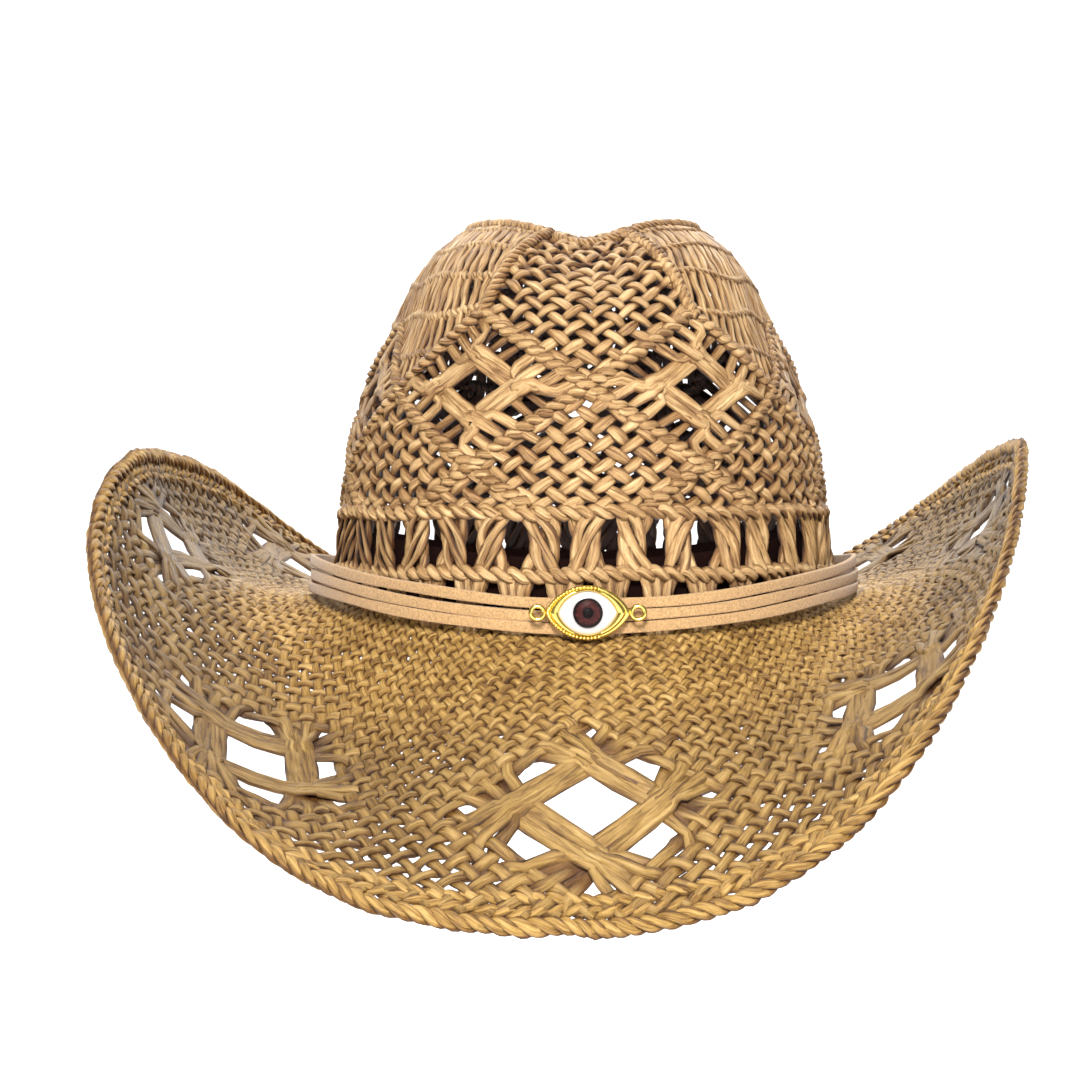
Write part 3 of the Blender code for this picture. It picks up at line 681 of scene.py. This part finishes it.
def crown_strand(sign, start):
    """One crown strand: turn, climb and over along its slanting and its upright stretch."""
    unit_turn = TAU / CROWN_STRANDS
    low, high = UPPER_ROW / CROWN_RISE + 0.2, strand_end(sign, start)
    upright_turn = (start + sign * high / 2) * unit_turn
    middle = float(from_front(upright_turn))
    if abs(middle) < CELL and high > LATTICE_FOOT:
        high = lattice_end(sign, middle, high)
    climb = np.linspace(low, high, int((high - low) * 4.2))
    a, b, over = slanting(sign, start, climb)
    new_a, new_b, inside, knot = gather(a, b, CROWN_REPEAT, CELL, SPIDER_CLIMB, *CROWN_GATHER)
    over = over * (1 - inside) + sign * 1.5 * knot * inside
    turn = ((new_a + new_b) / 2 + wander(len(climb), 0.05)) * unit_turn
    upright = np.linspace(high + 0.45, strand_stop(upright_turn), int((CLIMBS[-1] - high) * 2.3))
    phase = spoke_phase(upright_turn, upright) + math.pi * (upright - TIP_CLIMB) / TIP_PITCH
    woven = ease((upright - TIP_CLIMB) / 0.8)
    left_at = (a[-1] + b[-1]) / 2 * unit_turn
    back = ease((upright - high) / (TIP_CLIMB + 5 - high))
    fanned = left_at + (upright_turn - left_at) * back + wander(len(upright), 0.06) * unit_turn
    turn = np.append(turn, fanned)
    climb = np.append(new_b - new_a, upright)
    over = np.append(over, np.cos(phase) * woven)
    return turn, climb, over


def build_crown_strands():
    for sign, kind in FAMILIES:
        cords = crown_cords("crown_strands_" + kind, sides=12)
        for i in range(CROWN_STRANDS):
            turn, climb, over = crown_strand(sign, i + 0.5)
            narrow = 1 - 0.30 * ease((climb - TIP_CLIMB) / 4)
            fuller = 1 + 0.22 * ease((-np.cos(turn) - 0.2) / 0.4)
            open_front = 1 - 0.20 * window(from_front(turn), CELL, 1.0) * ease((climb - 24) / 5)
            wide = STRAND_WIDE * (0.83 + 0.17 * over) * narrow * fuller * open_front
            cords.lay(crown_by_climb, turn, climb, over * WAVE, wide * (1 + wander(len(turn), 0.06)),
                      STRAND_THICK, roll=wander(len(turn), 0.12), over=over)
        for i in range(LIP_STRANDS):
            add_lip_strand(cords, sign, i)
        cords.build("crown_weave", "crown_tip_weave")


def add_lip_strand(cords, sign, i):
    """A short strand that crosses the top of the front lattice from one of its sides to the other."""
    climb = np.linspace(LIP_FOOT, TIP_CLIMB + 1.0, 60)
    middle = sign * ((climb - LIP_MIDDLE) / 2 - i - 0.5)
    inside = np.abs(middle) < lattice_half(climb)
    if inside.sum() < 4:
        return
    middle, climb = middle[inside], climb[inside]
    crossed = middle + sign * climb / 2
    over = sign * np.cos(math.pi * (crossed - 0.5))
    turn = (middle + wander(len(climb), 0.05)) * TAU / CROWN_STRANDS
    wide = STRAND_WIDE * 0.80 * (0.83 + 0.17 * over)
    cords.lay(crown_by_climb, turn, climb, over * WAVE, wide, STRAND_THICK, over=over)


def build_crown_borders():
    """A twined cord along each edge of the diamond cells."""
    cords = crown_cords("crown_diamond_borders")
    low = UPPER_ROW / CROWN_RISE + 0.6
    for cell in range(CELLS):
        for sign, _ in FAMILIES:
            line = CROWN_REPEAT * cell + (RISING_LINE if sign > 0 else FALLING_LINE)
            climb = np.arange(low, LATTICE_FOOT, BORDER_STEP)
            turn = (line + sign * climb / 2) * TAU / CROWN_STRANDS
            phase = sign * BORDER_TWIST * climb + rng.random()
            twined(cords, crown_by_climb, turn, climb, 0.0008, 0.0009, phase, 0.0029, 0.0018, closed=False)
    climb = np.arange(LATTICE_FOOT - 0.6, TIP_CLIMB, BORDER_STEP)
    for side in (-1, 1):
        turn = side * lattice_half(climb) * TAU / CROWN_STRANDS
        twined(cords, crown_by_climb, turn, climb, 0.0008, 0.0010, BORDER_TWIST * climb, 0.0032, 0.0018,
               closed=False)
    cords.build("crown_weave")


def stands_upright(turn, climb):
    """Whether the crown's strands stand upright at a place: over the motifs and beside the front lattice."""
    middle = from_front(turn)
    floor = SPIDER_CLIMB + CROWN_REPEAT - 2 * np.abs((middle % CROWN_REPEAT) - CELL)
    in_column = (np.abs(middle) < CELL) & (np.abs(middle) < lattice_half(climb) + 0.1)
    return (climb > floor + 0.2) & ~in_column


def build_slot_rows():
    """Small twined rows that hold the upright strands, stopping at the lattice."""
    cords = crown_cords("crown_slot_rows")
    turns = all_round(900) + math.pi / 7
    for climb in SLOT_ROWS + BACK_ROWS:
        standing = stands_upright(turns, climb)
        if climb in BACK_ROWS:
            standing = standing & (np.cos(turns) < -0.35)
        edges = np.flatnonzero(np.diff(standing.astype(int))) + 1
        for run in np.split(np.arange(len(turns)), edges):
            if standing[run[0]] and len(run) > 12:
                height = climb + 0.35 * np.sin(turns[run] * 9 + climb)
                twined(cords, crown_by_climb, turns[run], height, -0.0003, 0.0008, turns[run] * 90,
                       0.0023, 0.0013, closed=False)
    cords.build("crown_weave")


def build_tip_rings():
    """Rings woven through the tip's upright strands, and a twined row round their edge."""
    cords = crown_cords("crown_tip_rings", sides=7)
    for ring in range(math.ceil((CLIMBS[-1] - TIP_MARGIN - TIP_CLIMB) / TIP_PITCH)):
        climb = TIP_CLIMB + ring * TIP_PITCH
        around = (CLIMBS[-1] - climb) * CROWN_RISE * TAU
        turns = all_round(max(int(around / 0.0013), 40))
        over = -np.cos(spoke_phase(turns, climb) + math.pi * ring)
        cords.lay(crown_by_climb, turns, climb, over * WAVE, 0.0027, 0.0013, closed=True, over=over)
    turns = all_round(900)
    twined(cords, crown_by_climb, turns, np.full(900, TIP_CLIMB - 0.5), 0.0003, 0.0010, turns * 90,
           0.0030, 0.0016)
    cords.build("crown_tip_weave")


# ---- courses round the lower crown

def wall_by_climb(turn, climb):
    return wall_place(turn, climb * CROWN_RISE)


def build_rows():
    turns = all_round(1100)
    for name, height, twists in (("twined_row_lower", LOWER_ROW, 58), ("twined_row_upper", UPPER_ROW, 52)):
        cords = crown_cords(name + "_cord")
        uneven = 0.25 * np.sin(turns * 7) + 0.25 * np.sin(turns * 12 + 1)
        climb = height / CROWN_RISE + 0.12 * np.sin(turns * 9)
        twined(cords, wall_by_climb, turns, climb, 0.0009, 0.0010, turns * twists + 2 * uneven,
               0.0031, 0.0019)
        cords.build(name)


def build_tall_posts():
    """Waisted sheaves of five strands that twist round each other."""
    cords = crown_cords("tall_posts_sheaves")
    share = np.linspace(0, 1, 24)
    height = LOWER_ROW + (UPPER_ROW - LOWER_ROW) * share
    for post in range(POSTS):
        lean, spin = rng.normal() * 0.0011, rng.choice([-1, 1]) * (2.6 + 1.2 * rng.random())
        waist = 0.0029 + rng.normal() * 0.0003 + (0.0012 if BACK_POSTS[0] < post < BACK_POSTS[1] else 0.0)
        spread = waist + 0.0022 * np.abs(2 * share - 1) ** 1.7
        for strand in range(5):
            phase = strand * TAU / 5 + 0.4 + spin * (share - 0.5) + rng.normal() * 0.1
            shift = spread * np.cos(phase) + lean * np.sin(share * math.pi)
            turn = post * TAU / POSTS + shift / POST_RADIUS
            lift = 0.0011 * np.sin(phase) + 0.0002
            wide = 0.0037 * (1 + wander(len(share), 0.09))
            cords.lay(wall_place, turn, height, lift, wide, 0.0015, WALL_STEP, roll=0.5 * np.sin(phase),
                      over=np.sin(phase))
    cords.build("post_course_tall")


def build_short_posts():
    """Split sheaves, wide at the twined row and drawn together at the brim."""
    cords = crown_cords("short_posts_sheaves")
    share = np.linspace(0, 1, 16)
    height = LOWER_ROW * (1 - share) - 0.0012 * share
    starts = (-0.0057, -0.0036, -0.0012, 0.0012, 0.0036, 0.0057)
    for post in range(POSTS):
        for strand, start in enumerate(starts):
            stop = 0.50 * start + rng.normal() * 0.0003
            drawn = np.minimum(share / 0.4, 1.0) ** 0.8
            turn = (post + 0.5) * TAU / POSTS + (start + (stop - start) * drawn) / POST_RADIUS
            front = strand % 2 == 0
            lift = (0.0006 if front else -0.0004) * np.sin(share * math.pi) + 0.0003
            wide = 0.0032 * (1 + wander(len(share), 0.06))
            cords.lay(wall_place, turn, height, lift, wide, 0.0014, WALL_STEP, over=0.6 if front else -0.3)
    cords.build("post_course_short")


# ---- brim

def brim_strand(sign, start):
    """One brim strand: turn, climb, over and nearness to a motif along it."""
    climb = np.linspace(-0.8, BRIM_CLIMB - 0.4, int(BRIM_CLIMB * 3))
    a, b, over = slanting(sign, start, climb)
    new_a, new_b, inside, knot = gather(a, b, BRIM_REPEAT, 0, BRIM_MOTIF_CLIMB, *BRIM_GATHER)
    over = over * (1 - inside) + sign * 1.6 * knot * inside
    turn = ((new_a + new_b) / 2 + wander(len(climb), 0.055)) * TAU / BRIM_STRANDS
    return turn, new_b - new_a, over, near_motif(a, b)


def near_motif(a, b):
    """1 in and round a brim motif, where the strands lie looser and wider, and 0 away from it."""
    nearest = np.round((a + b) / 2 / BRIM_REPEAT) * BRIM_REPEAT
    da, db = a - nearest + BRIM_MOTIF_CLIMB / 2, b - nearest - BRIM_MOTIF_CLIMB / 2
    return window(da, 6.5, 2.5) * window(db, 6.5, 2.5)


def build_brim_strands():
    half = BRIM_STRANDS // 2
    for sign, kind in FAMILIES:
        for part in (0, 1):
            cords = Cords(f"brim_strands_{kind}_{part + 1}", BRIM_STRAW, "straw_brim", sides=9)
            for i in range(part * half, (part + 1) * half):
                turn, climb, over, near = brim_strand(sign, i + 0.5)
                room = (0.80 + 0.22 * ease(climb / 18)) * (1 + 0.30 * near)
                wide = STRAND_WIDE * room * (0.87 + 0.13 * over) * (1 + wander(len(turn), 0.06))
                # Painted shade: the outer weave and the curled-up sides are painted darker, standing in for
                # the lesser light they get.
                curled = np.sin(turn) ** 2 * ease((climb - 8) / 20)
                tone = 1 - (1 - OUTER_BRIM_PAINTED_SHADE) * ease((climb - 12) / 14) - CURL_PAINTED_SHADE * curled
                cords.lay(brim_by_climb, turn, climb, over * WAVE * 0.85, wide, STRAND_THICK * 0.95,
                          roll=wander(len(turn), 0.14), over=over, tone=tone)
            cords.build("brim_inner_weave", "brim_outer_weave")


def build_edge():
    """Two flat twined rows near the edge, and a three-ply braid round the wire at the edge itself."""
    turns = all_round(1000)
    rows = Cords("brim_edge_rows", BRIM_STRAW, "straw_brim", sides=7)
    for climb, way in ((BRIM_CLIMB - 2.0, 1), (BRIM_CLIMB - 0.9, -1)):
        uneven = climb + 0.10 * np.sin(turns * 23 + way) + 0.08 * np.sin(turns * 41)
        twined(rows, brim_by_climb, turns, uneven, 0.0, 0.0008, way * turns * 110, 0.0028, 0.0013)
    rows.build("brim_outer_weave")
    braid = Cords("brim_binding_braid", BRIM_STRAW, "straw_brim")
    reach = 1.012 + 0.0025 * np.sin(turns * 31) + 0.0020 * np.sin(turns * 53 + 1)
    phase = turns * 84 + 0.5 * np.sin(turns * 17) + 0.4 * np.sin(turns * 29)
    twined(braid, brim_place, turns, reach, 0.0, 0.0013, phase, 0.0030 + 0.0004 * np.sin(turns * 47), 0.0018,
           plies=3)
    braid.build("brim_binding")


# ---- suede band and sweatband

def by_side(turn, front, side, back):
    end = np.where(np.cos(turn) > 0, front, back)
    share = np.sin(turn) ** 2
    return side * share + end * (1 - share)


def band_place(turn, out, up):
    stand = by_side(turn, LACE_FRONT_OUT, LACE_SIDE_OUT, LACE_BACK_OUT)
    points = wall_place(turn, np.zeros_like(turn), stand + out)
    points[..., 2] = fold_level(turn) + by_side(turn, LACE_FRONT_LIFT, LACE_SIDE_LIFT, LACE_BACK_LIFT) + up
    return points


def build_laces():
    """Three flat laces, close together in front and loose from each other at the sides."""
    turns = all_round(420)
    outward = np.stack([np.sin(turns), -np.cos(turns), np.zeros_like(turns)], -1)
    at_side = np.sin(turns) ** 6
    gape = np.exp(-((turns - TAU + LACE_GAPE_TURN) / 0.28) ** 2)
    for name, row, parting, open_up in (("upper", 1, 0.0013, 0.0004), ("middle", 0, 0.0004, -0.0005),
                                        ("lower", -1, 0.0, -0.0002)):
        cords = Cords(f"lace_{name}_suede", SUEDE, "suede", sides=20, ridged=0.0, square=0.40)
        out = 0.0003 * np.sin(turns * 5 + row * 2) - 0.0004 * row * at_side
        up = row * (LACE_HIGH + LACE_GAP) + 0.00015 * np.sin(turns * 9 + row) + parting * at_side
        wide = LACE_HIGH * (1 + 0.04 * np.sin(turns * 13 + 2 * row))
        cords.add(band_place(turns, out, up + open_up * gape), outward, wide, LACE_THICK, closed=True,
                  roll=0.14 * np.sin(turns * 4 + row))
        cords.build(f"lace_{name}")


def build_keeper():
    """A strap round the three laces at the back."""
    half_up = 1.5 * LACE_HIGH + LACE_GAP + KEEPER_WALL
    angle = all_round(40)
    ring = np.stack([np.zeros(40), KEEPER_REACH * squared(np.cos(angle), 0.5),
                     half_up * squared(np.sin(angle), 0.5)], -1)
    outward = np.stack([np.zeros(40), np.cos(angle), np.sin(angle)], -1)
    cords = Cords("lace_keeper_suede", SUEDE, "suede", sides=20, ridged=0.0, square=0.40)
    middle = band_place(np.array([math.pi]), 0.0, 0.0)
    cords.add(middle + ring, outward, KEEPER_LONG, KEEPER_WALL, closed=True)
    cords.build("lace_keeper")


def build_stitching():
    """Slanted stitches along the sweatband's lower edge."""
    cords = Cords("sweatband_stitches", THREAD, "thread", sides=6)
    stitches = 150
    share = np.linspace(-0.5, 0.5, 6)
    for i in range(stitches):
        turn = (i + share * 0.8) * TAU / stitches
        height = fold_level(turn) + BAND_LIFT + THREAD_LIFT
        points = wall_place(turn, height, BAND_IN - 0.0008 + 0.0003 * (2 * share) ** 2)
        points[:, 2] = height + share * 0.0012
        outward = np.stack([-np.sin(turn), np.cos(turn), np.zeros_like(turn)], -1)
        cords.add(points, outward, 0.0007, 0.0005)
    cords.build("sweatband_stitching")


# ---- eye charm

def almond(long, high, steps=26):
    """An eye's outline as two arcs, rounder at -X and pointed at +X."""
    points = []
    for side in (1, -1):
        for i in range(steps):
            along = math.cos(math.pi * i / steps) * side
            power = ROUND_POWER if along < 0 else POINTED_POWER
            points.append((along * long, side * high * max(1 - along * along, 0.0) ** power))
    return points


def circle(radius, sides=48):
    return [(radius * math.cos(TAU * i / sides), radius * math.sin(TAU * i / sides)) for i in range(sides)]


def stacked(name, layers, material, replaced, slot, extra=None):
    """A piece built of outlines stacked towards the front, each given as (outline, distance in front).

    Its UV map holds the share round the outline and the outline's radius as a share of the largest."""
    back = charm_back()
    bm = bmesh.new()
    uv = bm.loops.layers.uv.new("cord")
    sides = len(layers[0][0])
    rings = [[bm.verts.new((x, back - front, CHARM_LEVEL + z)) for x, z in outline]
             for outline, front in layers]
    sizes = [math.hypot(*outline[0]) for outline, _ in layers]
    for ring in range(len(rings) - 1):
        for i in range(sides):
            j = (i + 1) % sides
            corners = ((ring, i), (ring, j), (ring + 1, j), (ring + 1, i))
            face = bm.faces.new([rings[level][k] for level, k in corners])
            for loop, (level, k) in zip(face.loops, corners):
                around = 1.0 if (j == 0 and k == 0) else k / sides
                loop[uv].uv = (around, sizes[level] / max(sizes))
    bm.faces.new(rings[-1])
    bm.faces.new(rings[0][::-1])
    if extra:
        extra(bm, back)
    bmesh.ops.recalc_face_normals(bm, faces=bm.faces)
    mesh = smooth_mesh(bm, name)
    mesh.set_sharp_from_angle(angle=math.radians(50))
    link(mesh, name, material, slot, replaced)


def charm_back():
    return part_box("charm_bezel")[1][1]


def add_bezel_trim(bm, back):
    """Grains along the outer step on the rounder end, and a wire loop at each end."""
    grains = almond(CHARM_LONG * 0.945, CHARM_HIGH * 0.93, 34)
    for x, z in grains:
        if x < 0.004:
            spot = Vector((x, back - 0.0016, CHARM_LEVEL + z))
            made = bmesh.ops.create_uvsphere(bm, u_segments=8, v_segments=6, radius=0.00062)
            bmesh.ops.translate(bm, verts=made["verts"], vec=spot)
    for side in (-1, 1):
        middle = Vector((side * LOOP_PLACE, back - 0.0011, CHARM_LEVEL))
        add_ring(bm, middle, LOOP_MIDDLE, LOOP_WIRE)


def add_ring(bm, middle, radius, wire, steps=32, sides=10):
    rows = []
    for i in range(steps):
        turn = TAU * i / steps
        out = Vector((math.cos(turn), 0, math.sin(turn)))
        spots = [middle + out * (radius + wire * math.cos(TAU * j / sides))
                 + Vector((0, wire * math.sin(TAU * j / sides), 0)) for j in range(sides)]
        rows.append([bm.verts.new(spot) for spot in spots])
    for i in range(steps):
        for j in range(sides):
            near, far = rows[i], rows[(i + 1) % steps]
            bm.faces.new((near[j], near[(j + 1) % sides], far[(j + 1) % sides], far[j]))


def scaled(long_share, high_share):
    return almond(CHARM_LONG * long_share, CHARM_HIGH * high_share)


def build_charm():
    rim = [(scaled(0.97, 0.97), 0.0), (scaled(1.0, 1.0), 0.0003), (scaled(1.0, 1.0), 0.0011),
           (scaled(0.975, 0.965), 0.0015), (scaled(0.90, 0.90), 0.0016), (scaled(0.885, 0.885), 0.0020),
           (scaled(0.84, 0.86), 0.0025), (scaled(0.78, 0.84), 0.0026), (scaled(0.72, 0.81), 0.0024),
           (almond(EYE_LONG, EYE_HIGH), 0.0019), (almond(EYE_LONG, EYE_HIGH), 0.0011)]
    stacked("charm_bezel_cast", rim, GOLD, "charm_bezel", "gold", add_bezel_trim)
    eye = [(almond(EYE_LONG * 0.99 * k, EYE_HIGH * 0.99 * k), 0.0012 + 0.0016 * math.sqrt(1.02 - k * k))
           for k in (1.0, 0.97, 0.9, 0.8, 0.65, 0.45, 0.2, 0.02)]
    stacked("charm_eyeball", eye, ENAMEL, "charm_sclera", "enamel")
    iris = [(circle(IRIS_RADIUS), IRIS_FRONT - 0.0003), (circle(IRIS_RADIUS), IRIS_FRONT),
            (circle(IRIS_RADIUS * 0.02), IRIS_FRONT + 0.0001)]
    stacked("charm_iris_disc", iris, IRIS, "charm_iris", "iris")
    pupil = [(circle(PUPIL_RADIUS * k), IRIS_FRONT + 0.0001 + 0.0004 * math.sqrt(1.01 - k * k))
             for k in (1.0, 0.9, 0.6, 0.3, 0.02)]
    stacked("charm_pupil_bead", pupil, PUPIL, "charm_pupil", "pupil")
    cornea = [(circle(CORNEA_RADIUS * k), IRIS_FRONT - 0.0002 + 0.0019 * math.sqrt(1.004 - k * k))
              for k in (1.0, 0.98, 0.93, 0.85, 0.72, 0.55, 0.36, 0.18, 0.02)]
    stacked("charm_cornea_dome", cornea, DOME, "charm_cornea", "dome")


def assign(name, material):
    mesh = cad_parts[name].data
    mesh.materials.clear()
    mesh.materials.append(material)


# ---- stage

FLOOR_DROP = 0.14  # from the hat's lowest point down to the floor
FLOOR_NEAR, FLOOR_RUN, FLOOR_BEND, FLOOR_HALF_WIDE = -2.2, 3.8, 1.6, 5.0
CAMERA_SIDE, CAMERA_LEVEL, CAMERA_BACK = -0.0144, 0.019, 1.1
CAMERA_TILT = math.radians(0.5)


def build_stage():
    """A pale floor that runs up into a backdrop, soft lights and a pale world."""
    build_backdrop()
    area("key_light", (-0.10, -1.60, 0.80), (0, 0, 0.05), 0.40, 50)
    area("fill_light", (0.4, -1.5, 0.1), (0, 0, 0.04), 0.9, 3)
    area("back_light", (0.0, 1.0, 2.2), (0, 2.0, 0.2), 1.8, 75)
    area("rim_light", (-0.5, 1.5, 0.9), (0, 0, 0.0), 0.7, 5)
    area("rim_light_right", (0.6, 1.5, 0.9), (0, 0, 0.0), 0.7, 8)
    world = bpy.data.worlds.new("studio")
    bpy.context.scene.world = world
    world.use_nodes = True
    background = world.node_tree.nodes["Background"]
    background.inputs["Color"].default_value = (1, 1, 1, 1)
    background.inputs["Strength"].default_value = 0.22


def build_backdrop():
    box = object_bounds()
    floor_level = min(box[0][2], box[1][2]) - FLOOR_DROP
    bm = bmesh.new()
    bmesh.ops.create_grid(bm, x_segments=2, y_segments=40, size=1.0)
    for vert in bm.verts:
        share = (vert.co.y + 1) / 2
        vert.co.x *= FLOOR_HALF_WIDE
        if share <= 0.5:
            vert.co.y, vert.co.z = FLOOR_NEAR + share * 2 * FLOOR_RUN, floor_level
        else:
            rise = share * 2 - 1
            angle = rise * math.pi / 2
            vert.co.y = FLOOR_NEAR + FLOOR_RUN + FLOOR_BEND * math.sin(angle)
            vert.co.z = floor_level + FLOOR_BEND * (1 - math.cos(angle)) + rise ** 3 * FLOOR_BEND
    mesh = smooth_mesh(bm, "backdrop")
    white = Look("backdrop_white")
    white.inputs["Base Color"].default_value = (0.95, 0.95, 0.95, 1)
    white.inputs["Roughness"].default_value = 0.9
    mesh.materials.append(white.material)
    placed("backdrop", mesh)


def area(name, place, target, size, power):
    light = bpy.data.lights.new(name, "AREA")
    light.shape, light.size, light.energy = "SQUARE", size, power
    obj = placed(name, light)
    obj.location = place
    obj.rotation_euler = (Vector(target) - Vector(place)).to_track_quat("-Z", "Y").to_euler()


def build_camera():
    camera = bpy.data.cameras.new("photo_view")
    camera.sensor_width, camera.lens = 36.0, 110.0
    obj = placed("photo_view", camera)
    obj.location = (CAMERA_SIDE, -CAMERA_BACK * math.cos(CAMERA_TILT),
                    CAMERA_LEVEL + CAMERA_BACK * math.sin(CAMERA_TILT))
    obj.rotation_euler = (math.pi / 2 - CAMERA_TILT, 0, 0)
    bpy.context.scene.camera = obj
    bpy.context.scene.view_settings.view_transform = "Standard"


build_camera()
build_stage()
build_crown_strands()
build_crown_borders()
build_slot_rows()
build_tip_rings()
build_rows()
build_tall_posts()
build_short_posts()
build_brim_strands()
build_edge()
build_laces()
build_keeper()
build_stitching()
build_charm()
assign("sweatband", ELASTIC)
assign("brim_wire", STEEL)
assign("charm_glue_pad", GLUE)
